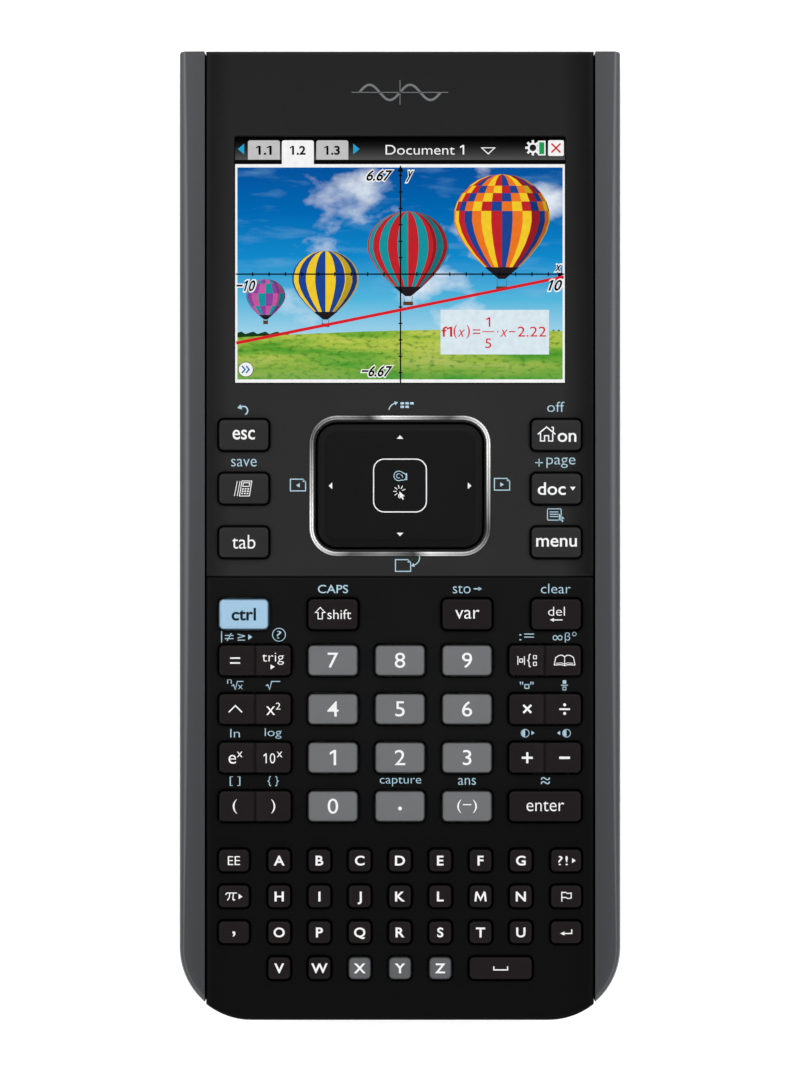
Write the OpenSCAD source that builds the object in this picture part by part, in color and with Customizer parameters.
// Handheld graphing calculator with a colour screen, a tilting touchpad and a letter keypad.
// It lies on its back: +Z is the way the keys face, +Y points to the screen end.
// The origin is on the table, under the centre of the body.

/* [Body] */
// Width across the two side rails
body_w = 87; // [86:0.5:90]
// Length from the bottom edge to the top edge
body_l = 191; // [190:0.5:194]
// Height of the screen faceplate above the table
face_z = 14.4; // [14.2:0.1:15]
// Radius of the two bottom corners
corner_r = 14.2; // [13:0.2:16]
// Width of each side rail, seen from the front
rail_w = 5.2; // [5:0.1:5.4]
// Drop from the screen faceplate to the keypad faceplate
keypad_step = 0.2; // [0.1:0.05:0.3]

/* [Screen] */
// Visible width of the screen
screen_w = 65.2; // [63:0.2:66]
// Visible height of the screen
screen_h = 48.7; // [47:0.1:49]
// Centre of the screen above the centre of the body
screen_y = 54.3; // [54:0.1:54.8]

/* [Keys] */
// Width of a main key
key_w = 9.85; // [9:0.05:10]
// Height of a main key
key_h = 6.1; // [5.6:0.1:6.2]
// Corner radius of every key
key_r = 0.95; // [0.5:0.05:1.1]
// How far a main key stands above its faceplate
key_rise = 1.1; // [0.8:0.1:1.4]
// Clearance around every key
key_gap = 0.3; // [0.25:0.05:0.35]
// Distance between columns of digits
digit_pitch = 13.2; // [13:0.1:13.4]
// Distance between rows of digits
digit_row_pitch = 9.57; // [9.4:0.01:9.6]
// Width of a letter key
letter_w = 4.5; // [4:0.1:4.8]
// Distance between columns of letters
letter_pitch = 7.93; // [7.6:0.01:8]
// Distance between rows of letters
letter_row_pitch = 7.07; // [6.9:0.01:7.1]
// Travel of a main key
key_travel = 0.8; // [0.5:0.1:0.8]

/* [Touchpad] */
// Width of the touchpad
pad_w = 32.7; // [31:0.1:33]
// Height of the touchpad
pad_h = 24.5; // [23:0.1:25]
// Centre of the touchpad above the centre of the body
pad_y = 9.8; // [9.6:0.1:10]

/* [Hidden] */
$fn = 48;
fit = 0.05;

// Levels from the table up
foot_z = 0.6;
rear_floor_z = 2.2;
parting_z = 6.2;
board_z = 6.4;
board_t = 1;
board_top = board_z + board_t;
mat_z = 7.5;
mat_t = 0.6;
bump_top = 9.6;
stem_z = bump_top + key_travel + 0.1;
plate_t = 1.6;
keypad_z = face_z - keypad_step;
screen_under = face_z - plate_t;
keypad_under = keypad_z - plate_t;

// Outlines
panel_x = body_w / 2 - rail_w - 0.1;
wall_t = 1.6;
split_y = -8.1;
seam = 0.1;

// Inner frame
bar_h = 2.1;
seam_bar_z = 10.4;
screen_bar_y = screen_y - screen_h / 2 - 5;
screen_bar_z = 11.6;
screw_tip_z = 11.6;

// Screen stack: cover, screen panel, backlight tray
window_t = 1;
window_sink = 0.2;
lcd_top = face_z - window_sink - window_t;
lcd_z = 11.5;
lcd_w = screen_w + 3.8;
lcd_h = screen_h + 3.9;
tray_z = 8.5;
tray_w = screen_w + 4.8;
tray_h = screen_h + 5.3;

// Key layout
side_x = 30.75;
pair_x = 28.55;
pair_w = 14.25;
letter_side_x = 32.7;
letter_side_w = 6.1;
upper_y = 19.8;
upper_pitch = 10.57;
shift_y = -15.5;
digit_y = -24.6;
letter_y = -64;
letter_h = 4.5;
letter_rise = 0.8;
space_w = letter_pitch + letter_w;
space_x = 2.5 * letter_pitch;
flange = 0.6;

// Touchpad stack
pad_r = 3.9;
pad_top = face_z + 0.3;
pad_t = 1.4;
pad_gap = 0.3;
ring_w = 0.8;
ring_lip = 0.7;
ring_out_w = pad_w + 2 * (pad_gap + ring_lip + ring_w) - 0.6;
ring_out_h = pad_h + 2 * (pad_gap + ring_lip + ring_w) - 0.4;
ring_r = 5.5;
ring_z = face_z - 0.6;
ring_top = face_z + 0.35;
pivot_z = 11.4;
pin_r = 0.6;
carrier_z = 9;
carrier_t = 0.6;
guide_x = 19.5;
guide_y = 7;
guide_r = 1;

// Rocker pivots
rocker_pivot_z = 11.7;
rocker_pin_r = 0.5;
rocker_pin_l = 0.9;

// Fasteners
screws = [[33, 88], [21.5, 24.9], [21.5, split_y], [24, -91.2]];
door_screws = [24, -17.5];
screw_r = 1;

// Battery bay
door_w = 64;
door_l = 54;
door_y = -40.5;
battery_w = 54;
battery_l = 38;
battery_y = -44;
battery_t = 3.8;

// Sockets and the reset button
usb_w = 7.7;
usb_h = 3.9;
usb_depth = 9;
reset_x = 25;
reset_y = 42;

// Feet
foot_r = 4;
feet = [[34, 80], [31, -84]];

// Keys that slide straight down: name, x, y, colour
upper_keys = [
    ["esc_key", -side_x, upper_y],
    ["scratchpad_key", -side_x, upper_y - upper_pitch],
    ["tab_key", -side_x, upper_y - 2 * upper_pitch],
    ["home_key", side_x, upper_y],
    ["doc_key", side_x, upper_y - upper_pitch],
    ["menu_key", side_x, upper_y - 2 * upper_pitch]
];
function digit_row(n) = digit_y - n * digit_row_pitch;
shift_keys = [
    ["ctrl_key", -side_x, shift_y, "lightblue"],
    ["shift_key", -digit_pitch, shift_y, "#252021"],
    ["var_key", digit_pitch, shift_y, "#252021"],
    ["delete_key", side_x, shift_y, "#252021"]
];
digit_keys = concat(
    [for (row = [0:2]) for (col = [0:2])
        [str("digit_", 7 - 3 * row + col), (col - 1) * digit_pitch, digit_row(row), "dimgray"]],
    [["digit_0", -digit_pitch, digit_row(3), "dimgray"],
     ["point_key", 0, digit_row(3), "dimgray"],
     ["negate_key", digit_pitch, digit_row(3), "dimgray"]]
);

// Double keys that rock about their middle: name, x, y
rockers = [
    ["equals_trig_rocker", -pair_x, digit_row(0)],
    ["power_square_rocker", -pair_x, digit_row(1)],
    ["exponent_rocker", -pair_x, digit_row(2)],
    ["bracket_rocker", -pair_x, digit_row(3)],
    ["template_catalog_rocker", pair_x, digit_row(0)],
    ["times_divide_rocker", pair_x, digit_row(1)],
    ["plus_minus_rocker", pair_x, digit_row(2)]
];

// Rows of letter keys, each moulded on one thin web: name, first column, last column, has side keys
letter_rows = [
    ["letter_row_1", -3, 3, true],
    ["letter_row_2", -3, 3, true],
    ["letter_row_3", -3, 3, true],
    ["letter_row_4", -3, 1, false]
];
function letter_row_y(n) = letter_y - n * letter_row_pitch;

// ---------- shared shapes ----------

// Rectangle with true arcs at its corners, centred on the origin
module rounded_rect(w, h, r) {
    square([w - 2 * r, h], center = true);
    square([w, h - 2 * r], center = true);
    for (x = [-1, 1], y = [-1, 1])
        translate([x * (w / 2 - r), y * (h / 2 - r)]) circle(r);
}

// Prism with a rounded outline, from z0 up to z1
module rounded_prism(w, h, r, z0, z1) {
    translate([0, 0, z0]) linear_extrude(z1 - z0) rounded_rect(w, h, r);
}

// Block between two heights, centred in x and y
module block(w, h, z0, z1) {
    translate([-w / 2, -h / 2, z0]) cube([w, h, z1 - z0]);
}

// Round post or hole between two heights
module post(r, z0, z1) {
    translate([0, 0, z0]) cylinder(r = r, h = z1 - z0);
}

// One copy on each side of the long axis
module both_sides(place) {
    for (side = [-1, 1]) translate([side * place[0], place[1], 0]) children();
}

// The calculator's outline, moved inwards: square at the top, round at the bottom corners
module body_outline(inset = 0) {
    corner_x = body_w / 2 - corner_r;
    corner_y = -body_l / 2 + corner_r;
    translate([-body_w / 2 + inset, corner_y])
        square([body_w - 2 * inset, body_l - corner_r - inset]);
    translate([-corner_x, -body_l / 2 + inset])
        square([2 * corner_x, corner_r]);
    for (side = [-1, 1]) translate([side * corner_x, corner_y]) circle(corner_r - inset);
}

// The part of the outline between the rails, moved inwards
module panel_outline(inset = 0) {
    intersection() {
        body_outline(inset);
        square([2 * (panel_x - inset), body_l], center = true);
    }
}

// Thin slices of the outline joined into a smooth slab; each level is [height, inset]
module blended_slab(levels) {
    hull() for (level = levels)
        translate([0, 0, level[0]]) linear_extrude(0.01) body_outline(level[1], $fn = 32);
}

// ---------- housings ----------

// Perimeter frame that the faceplates, the board and the screws fasten to
module front_frame() color("#1c1c1d") {
    difference() {
        union() {
            translate([0, 0, parting_z]) linear_extrude(keypad_under - parting_z)
                difference() { panel_outline(); panel_outline(wall_t); }
            // the screen half is higher by the step between the faceplates
            translate([0, 0, keypad_under - 1]) linear_extrude(screen_under - keypad_under + 1)
                intersection() {
                    difference() { panel_outline(); panel_outline(wall_t); }
                    translate([-body_w / 2, split_y]) square([body_w, body_l]);
                }
            // bar under the seam between the faceplates
            translate([0, split_y - bar_h / 2, 0]) block(2 * panel_x - 2, bar_h, seam_bar_z, keypad_under);
            translate([0, split_y + bar_h / 2, 0]) block(2 * panel_x - 2, bar_h, seam_bar_z, screen_under);
            // bar under the lower edge of the screen
            translate([0, screen_bar_y, 0]) block(2 * panel_x - 2, bar_h, screen_bar_z, screen_under);
            frame_bosses();
        }
        for (place = screws) both_sides(place) post(screw_r + fit, mat_z - 1, screw_tip_z + 0.2);
        // port for the charging socket
        translate([0, body_l / 2, 0]) block(usb_w + 0.3, 2 * wall_t + 1,
            board_top - 0.1, board_top + usb_h + 0.2);
    }
}

// Screw bosses of the front frame, tied to the nearest wall or bar
module frame_bosses() {
    both_sides(screws[0]) {
        post(2.4, mat_z, screen_under);
        translate([2.6, 0, 0]) block(4, 1.6, mat_z, screen_under);
    }
    both_sides(screws[1]) post(2.1, mat_z, screen_under);
    both_sides(screws[2]) post(2, mat_z, keypad_under);
    both_sides(screws[3]) post(2.8, mat_z, keypad_under);
}

// Upper front cover: screen opening, touchpad opening with a groove for its ring, six keys
module screen_faceplate() color("#2c2c2d") {
    pocket_w = lcd_w + 1;
    pocket_h = lcd_h + 1;
    difference() {
        translate([0, 0, screen_under]) linear_extrude(plate_t) difference() {
            intersection() {
                panel_outline();
                translate([-body_w / 2, split_y + seam / 2]) square([body_w, body_l]);
            }
            translate([0, screen_y]) square([screen_w, screen_h], center = true);
            translate([0, pad_y]) rounded_rect(pad_w + 2 * pad_gap, pad_h + 2 * pad_gap, pad_r + pad_gap);
            for (k = upper_keys) translate([k[1], k[2]]) key_hole(key_w, key_h);
        }
        // pocket behind the screen opening for the edge of the screen panel
        translate([0, screen_y, 0]) block(pocket_w, pocket_h, screen_under - 1, lcd_top);
        translate([0, pad_y, ring_z]) linear_extrude(2) ring_outline(fit);
    }
    for (y = [-guide_y, guide_y]) both_sides([guide_x, pad_y + y]) {
        post(guide_r, board_top + key_travel, screen_under);
        post(guide_r + 0.8, carrier_z + carrier_t + fit, screen_under);
    }
}

// Lower front cover: holes for every key below the touchpad, and bearings for the rockers
module keypad_faceplate() color("#161616") {
    translate([0, 0, keypad_under]) linear_extrude(plate_t) difference() {
        intersection() {
            panel_outline();
            translate([-body_w / 2, split_y - seam / 2 - body_l]) square([body_w, body_l]);
        }
        for (k = concat(shift_keys, digit_keys)) translate([k[1], k[2]]) key_hole(key_w, key_h);
        for (k = rockers) translate([k[1], k[2]]) key_hole(pair_w, key_h);
        translate([pair_x, digit_row(3)]) key_hole(pair_w, key_h);
        for (row = [0:3]) translate([0, letter_row_y(row)]) letter_holes(letter_rows[row]);
        translate([space_x, letter_row_y(3)]) key_hole(space_w, letter_h);
    }
    for (k = rockers) translate([k[1], k[2], 0]) for (side = [-1, 1]) rocker_bearing(side);
}

module key_hole(w, h) {
    rounded_rect(w + 2 * key_gap, h + 2 * key_gap, key_r + key_gap);
}

module letter_holes(row) {
    for (col = [row[1]:row[2]]) translate([col * letter_pitch, 0]) key_hole(letter_w, letter_h);
    if (row[3]) for (side = [-1, 1])
        translate([side * letter_side_x, 0]) key_hole(letter_side_w, letter_h);
}

// Lug under the keypad faceplate that holds one stub pin of a rocker
module rocker_bearing(side) {
    lug_t = 0.8;
    lug_y = side * (key_h / 2 + key_gap + lug_t / 2 + 0.1);
    translate([0, lug_y, 0]) difference() {
        block(2.6, lug_t, rocker_pivot_z - 1, keypad_under);
        translate([0, 0, rocker_pivot_z]) rotate([90, 0, 0])
            cylinder(r = rocker_pin_r + fit, h = 4, center = true);
    }
}

// Side rail: an upside-down channel that follows the body's outline and bottom corner
module side_rail(side) color("#4c4d4f") {
    rail_t = 1.4;
    shoulder = 2.2;
    levels = concat([[parting_z, 0]],
        [for (a = [0:15:90]) [face_z - 0.01 - shoulder * (1 - sin(a)), shoulder * (1 - cos(a))]]);
    inner_x = panel_x;
    difference() {
        intersection() {
            blended_slab(levels);
            translate([side * (inner_x + 10), 0, 10]) cube([20, body_l + 2, 20], center = true);
        }
        // channel, open to the rear
        translate([0, 0, parting_z - 1]) linear_extrude(face_z - shoulder - parting_z + 1)
            intersection() {
                body_outline(rail_t);
                translate([side * (inner_x + rail_t + 10), 0]) square([20, body_l + 2], center = true);
            }
        // groove beside the faceplates
        translate([side * inner_x, 0, screen_under]) block(0.4, body_l + 2, 0, 4);
    }
}

// Rear shell with screw posts, the battery bay, foot pockets and the slide-cover grooves
module rear_housing() color("#1b1b1c") {
    shell_t = 2.4;
    groove_depth = 1;
    groove_h = 1.2;
    difference() {
        union() {
            difference() {
                blended_slab([[foot_z, 3], [foot_z + 0.4, 1.7], [foot_z + 1.1, 0.7],
                    [foot_z + 2.2, 0], [parting_z - 0.01, 0]]);
                translate([0, 0, rear_floor_z]) linear_extrude(10) body_outline(shell_t);
            }
            for (place = screws) both_sides(place) post(2.6, rear_floor_z - 0.5, board_z - fit);
            both_sides(door_screws) post(2.3, rear_floor_z - 0.2, board_z - 0.4);
            battery_bay_walls();
        }
        for (place = screws) both_sides(place) {
            post(screw_r + 0.15, 0, board_z);
            post(2.1, 0, 3);
        }
        both_sides(door_screws) post(screw_r, 0, board_z - 1);
        for (place = feet) both_sides(place) post(foot_r + fit, 0, foot_z + 0.6);
        door_opening();
        translate([reset_x, reset_y, 0]) post(1.3, 0, 5);
        // grooves for a slide-on cover
        for (side = [-1, 1])
            translate([side * body_w / 2, corner_r / 2 - 2, 0])
                block(2 * groove_depth, body_l - corner_r, parting_z - groove_h, parting_z + 1);
    }
}

module battery_bay_walls() {
    rib_t = 1.2;
    translate([0, battery_y, rear_floor_z - 0.2]) linear_extrude(battery_t - 0.3) difference() {
        square([battery_w + 1 + 2 * rib_t, battery_l + 1 + 2 * rib_t], center = true);
        square([battery_w + 1, battery_l + 1], center = true);
        translate([0, battery_l / 2]) square([9, 8], center = true);
    }
}

// Hole for the door, with the ledge that it lies on
module door_opening() {
    translate([0, door_y, 0]) rounded_prism(door_w, door_l, 2, 0, foot_z + 1.2);
    translate([0, battery_y, 0]) block(battery_w + 0.6, battery_l + 0.6, 0, rear_floor_z + 0.01);
    translate([0, battery_y + battery_l / 2, 0]) block(16, 18, 0, rear_floor_z + 0.01);
}

module battery_door() color("#1b1b1c") {
    difference() {
        translate([0, door_y, 0]) rounded_prism(door_w - 0.3, door_l - 0.3, 1.85, foot_z, foot_z + 1.15);
        both_sides(door_screws) {
            post(screw_r + 0.2, 0, 3);
            post(2, 0, foot_z + 0.6);
        }
        // finger scoop
        translate([0, door_y + door_l / 2, -2.4]) rotate([0, 90, 0]) cylinder(r = 4, h = 14, center = true);
    }
}

module rubber_feet() color("#101010") {
    for (place = feet) both_sides(place) post(foot_r, 0, foot_z + 0.6);
}

// ---------- fasteners ----------

// Pan-head screw whose head stands at z0, with a cross recess
module screw(head_r, head_h, shank_r, z0, z1) {
    difference() {
        union() {
            post(head_r, z0, z0 + head_h);
            post(shank_r, z0 + head_h, z1);
        }
        block(head_r * 1.2, 0.4, z0 - 1, z0 + head_h * 0.6);
        block(0.4, head_r * 1.2, z0 - 1, z0 + head_h * 0.6);
    }
}

module case_screws() color("silver") {
    for (place = screws) both_sides(place) screw(1.9, 1.2, screw_r, 1.8, screw_tip_z);
}

module battery_door_screws() color("silver") {
    both_sides(door_screws) screw(1.8, 0.55, screw_r - fit, foot_z + 0.05, 5.2);
}

// ---------- electronics ----------

module battery_pack() color("#8c9095") {
    translate([0, battery_y, 0])
        rounded_prism(battery_w, battery_l, 1.5, rear_floor_z + fit, rear_floor_z + fit + battery_t);
}

// Three leads from the battery pack and the plug on their end
module battery_lead() color("ivory") {
    start_y = battery_y + battery_l / 2;
    lead_z = 4.6;
    lead_l = 3.5;
    plug_t = 2.4;
    for (x = [-1.5, 0, 1.5]) translate([x, start_y, lead_z])
        rotate([-90, 0, 0]) cylinder(r = 0.5, h = lead_l);
    translate([0, start_y + lead_l + 1.4, 0])
        block(6, 3, lead_z - plug_t / 2, lead_z + plug_t / 2);
}

module main_board() color("#1e5b35") {
    board_w = 72;
    board_l = 184.4;
    translate([0, 0, board_z]) linear_extrude(board_t) difference() {
        intersection() {
            panel_outline(2.4);
            translate([0, -0.2]) square([board_w, board_l], center = true);
        }
        for (place = screws) both_sides(place) circle(screw_r + 0.3);
    }
}

// Chips, connectors and switches soldered to the board
module board_components() color("#2a2a2c") {
    // x, y, width and height of each chip
    chips = [[-14, 62, 14, 14], [8, 64, 12, 10], [24, 56, 8, 8], [-26, 44, 7, 9], [6, 44, 10, 6]];
    chip_top = board_top + 0.9;
    dome_r = 2;
    dome_top = board_top + 0.6;
    dome_x = 12;
    dome_y = 8;
    jack_z = 3.6;
    switch_z = 5.4;
    for (c = chips) translate([c[0], c[1], 0]) block(c[2], c[3], board_top, chip_top);
    // connector for the screen's flex
    translate([0, 33, 0]) block(20, 2.5, board_top, chip_top);
    // five domes under the touchpad
    for (x = [-dome_x, 0, dome_x]) translate([x, pad_y, 0]) post(dome_r, board_top, dome_top);
    for (y = [-dome_y, dome_y]) translate([0, pad_y + y, 0]) post(dome_r, board_top, dome_top);
    // battery jack and reset switch on the rear side
    translate([0, battery_y + battery_l / 2 + 8, 0]) block(7.5, 3, jack_z, board_z);
    translate([reset_x, reset_y, 0]) block(4, 4, switch_z, board_z);
}

// Silicone sheet with one dome for each key, drawn at the height of a pressed dome
module key_mat() color("#8f9396") {
    mat_w = 72;
    mat_top_y = -10.8;
    mat_bottom_y = -88.2;
    arm_w = 10.5;
    arm_l = 35.4;
    translate([0, 0, mat_z]) linear_extrude(mat_t) {
        translate([-mat_w / 2, mat_bottom_y]) square([mat_w, mat_top_y - mat_bottom_y]);
        for (side = [-1, 1])
            translate([side * side_x - arm_w / 2, mat_top_y - 1]) square([arm_w, arm_l]);
    }
    for (k = concat(upper_keys, shift_keys, digit_keys)) translate([k[1], k[2], 0]) mat_bump(2.2);
    for (k = rockers, x = [-1, 1]) translate([k[1] + x * pair_w / 4, k[2], 0]) mat_bump(2.2);
    translate([pair_x, digit_row(3), 0]) mat_bump(2.2);
    for (row = [0:3]) translate([0, letter_row_y(row), 0]) {
        for (col = [letter_rows[row][1]:letter_rows[row][2]])
            translate([col * letter_pitch, 0, 0]) mat_bump(1.6);
        if (letter_rows[row][3]) both_sides([letter_side_x, 0]) mat_bump(1.6);
    }
    translate([space_x, letter_row_y(3), 0]) mat_bump(1.6);
}

module mat_bump(r) {
    post(r, mat_z, bump_top);
}

module display_window() color("#a8c0d8", 0.4) {
    translate([0, screen_y, 0])
        block(screen_w - 0.2, screen_h - 0.2, lcd_top, lcd_top + window_t);
}

module lcd_panel() color("#3b78b8") {
    translate([0, screen_y, 0]) block(lcd_w, lcd_h, lcd_z, lcd_top);
}

// Backlight tray behind the screen glass
module backlight_frame() color("whitesmoke") {
    translate([0, screen_y, 0]) difference() {
        block(tray_w, tray_h, tray_z, lcd_z);
        block(screen_w, screen_h, tray_z + 0.7, tray_z + 1.5);
    }
}

// Flexible strip that leaves the screen, folds round and runs back along the board
module lcd_flex() color("#c9822b") {
    strip_w = 18;
    bend_r = 1.6;
    strip_t = 0.2;
    bend_y = 26;
    lower_z = board_top + 0.25;
    axis_z = lower_z + bend_r;
    screen_edge = screen_y - tray_h / 2;
    tail = 5.6;
    // the bend, a half tube about the X axis
    translate([0, bend_y, axis_z]) rotate([0, 90, 0]) rotate([0, 0, 180])
        rotate_extrude(angle = 180) translate([bend_r - strip_t / 2, -strip_w / 2])
            square([strip_t, strip_w]);
    translate([-strip_w / 2, bend_y, axis_z + bend_r - strip_t / 2])
        cube([strip_w, screen_edge - bend_y, strip_t]);
    translate([-strip_w / 2, bend_y, axis_z - bend_r - strip_t / 2])
        cube([strip_w, tail, strip_t]);
}

// Charging socket: a folded metal shell round a contact tongue
module usb_socket() color("silver") {
    shell_t = 0.4;
    translate([0, body_l / 2 - 0.2 - usb_depth / 2, 0]) difference() {
        block(usb_w, usb_depth, board_top, board_top + usb_h);
        translate([0, 0.8, 0]) block(usb_w - 2 * shell_t, usb_depth,
            board_top + shell_t, board_top + usb_h - shell_t);
    }
    translate([0, body_l / 2 - usb_depth / 2 - 0.8, 0])
        block(4.6, usb_depth - 1.2, board_top + usb_h / 2 - 0.4, board_top + usb_h / 2 + 0.4);
}

// Plunger behind a small hole in the rear shell
module reset_button() color("#303030") {
    translate([reset_x, reset_y, 0]) {
        post(1.2, foot_z + 0.4, 4.9);
        post(2, rear_floor_z + fit, rear_floor_z + 0.6);
    }
}

// ---------- touchpad ----------

module ring_outline(clearance = 0) {
    difference() {
        rounded_rect(ring_out_w + 2 * clearance, ring_out_h + 2 * clearance, ring_r + clearance);
        rounded_rect(ring_out_w - 2 * ring_w - 2 * clearance, ring_out_h - 2 * ring_w - 2 * clearance,
            ring_r - ring_w - clearance);
    }
}

module touchpad_ring() color("silver") {
    translate([0, pad_y, ring_z]) linear_extrude(ring_top - ring_z) ring_outline();
}

// Pad that tilts left and right on the gimbal's two pins
module touchpad_cap() color("#1d1d1e") {
    lug_y = 9.6;
    lug_t = 1.4;
    translate([0, pad_y, 0]) {
        rounded_prism(pad_w, pad_h, pad_r, pad_top - pad_t, pad_top);
        for (side = [-1, 1]) translate([0, side * lug_y, 0]) difference() {
            block(3, lug_t, pivot_z - 1, pad_top - pad_t + 0.1);
            translate([0, 0, pivot_z]) rotate([90, 0, 0])
                cylinder(r = pin_r + fit, h = 4, center = true);
        }
    }
}

// Frame with four stub pins: two carry the pad, two sit in the carrier
module touchpad_gimbal() color("#3a3a3c") {
    frame_w = 24;
    frame_h = 16.6;
    bar = 2;
    translate([0, pad_y, 0]) {
        translate([0, 0, pivot_z - 0.8]) linear_extrude(1.6) difference() {
            square([frame_w, frame_h], center = true);
            square([frame_w - 2 * bar, frame_h - 2 * bar], center = true);
        }
        for (side = [-1, 1]) {
            translate([0, side * (frame_h / 2 + 0.7), pivot_z]) rotate([90, 0, 0])
                cylinder(r = pin_r, h = 3.4, center = true);
            translate([side * (frame_w / 2 + 0.7), 0, pivot_z]) rotate([0, 90, 0])
                cylinder(r = pin_r, h = 3.4, center = true);
        }
    }
}

// Plate that slides on four guide posts when the whole pad is clicked
module touchpad_carrier() color("#9a9da0") {
    lug_x = 13.2;
    lug_t = 1.4;
    translate([0, pad_y, 0]) {
        difference() {
            rounded_prism(2 * guide_x + 4.4, 2 * guide_y + 4.4, 2, carrier_z, carrier_z + carrier_t);
            for (y = [-guide_y, guide_y]) both_sides([guide_x, y])
                post(guide_r + 0.1, carrier_z - 1, carrier_z + 2);
        }
        for (side = [-1, 1]) translate([side * lug_x, 0, 0]) difference() {
            block(lug_t, 3, carrier_z + carrier_t - 0.1, pivot_z + 0.9);
            translate([0, 0, pivot_z]) rotate([0, 90, 0])
                cylinder(r = pin_r + fit, h = 4, center = true);
        }
    }
}

// ---------- keys ----------

// Cap with a flange that stops under its faceplate and a stem over its dome
module slide_key(w, h, under, top, stem_r = 1.6) {
    rounded_prism(w, h, key_r, under - fit - flange, top);
    rounded_prism(w + 2 * flange, h + 2 * flange, key_r + flange / 2, under - fit - flange, under - fit);
    post(stem_r, stem_z, under - fit - flange + 0.1);
}

// Double cap with a groove across its middle, two stub pins and two stems
module rocker_key() color("#252021") {
    top = keypad_z + key_rise;
    skirt_z = rocker_pivot_z - 0.7;
    difference() {
        rounded_prism(pair_w, key_h, key_r, skirt_z, top);
        block(0.7, key_h + 2, top - 0.35, top + 1);
    }
    translate([0, 0, rocker_pivot_z]) rotate([90, 0, 0])
        cylinder(r = rocker_pin_r, h = key_h + 2 * (rocker_pin_l + key_gap / 2), center = true);
    for (side = [-1, 1]) translate([side * pair_w / 4, 0, 0]) post(1.2, stem_z, skirt_z + 0.1);
}

// Letter caps joined by a thin web under the faceplate
module letter_row(row) color("#242021") {
    under = keypad_under;
    top = keypad_z + letter_rise;
    ends = row[3] ? letter_side_x : letter_pitch * 3;
    for (col = [row[1]:row[2]]) translate([col * letter_pitch, 0, 0])
        slide_key(letter_w, letter_h, under, top, 1);
    if (row[3]) both_sides([letter_side_x, 0]) slide_key(letter_side_w, letter_h, under, top, 1);
    last = row[3] ? ends : row[2] * letter_pitch;
    translate([-ends, -1, under - fit - flange]) cube([ends + last, 2, flange]);
}

module enter_key() color("#252021") {
    slide_key(pair_w, key_h, keypad_under, keypad_z + key_rise);
}

module space_key() color("#242021") {
    slide_key(space_w, letter_h, keypad_under, keypad_z + letter_rise, 1);
}

// ---------- one solid or group for each node ----------

front_frame();
screen_faceplate();
keypad_faceplate();
side_rail(-1);  // left_rail
side_rail(1);  // right_rail
rear_housing();
battery_door();
battery_door_screws();
case_screws();
rubber_feet();
battery_pack();
battery_lead();
main_board();
board_components();
key_mat();
display_window();
lcd_panel();
backlight_frame();
lcd_flex();
touchpad_ring();
touchpad_cap();
touchpad_gimbal();
touchpad_carrier();
usb_socket();
reset_button();
translate([pair_x, digit_row(3), 0]) enter_key();
translate([space_x, letter_row_y(3), 0]) space_key();
for (k = upper_keys) color("#2d2d2e") translate([k[1], k[2], 0]) slide_key(key_w, key_h, screen_under, face_z + key_rise);
for (k = concat(shift_keys, digit_keys)) color(k[3]) translate([k[1], k[2], 0]) slide_key(key_w, key_h, keypad_under, keypad_z + key_rise);
for (k = rockers) translate([k[1], k[2], 0]) rocker_key();
for (n = [0:3]) translate([0, letter_row_y(n), 0]) letter_row(letter_rows[n]);
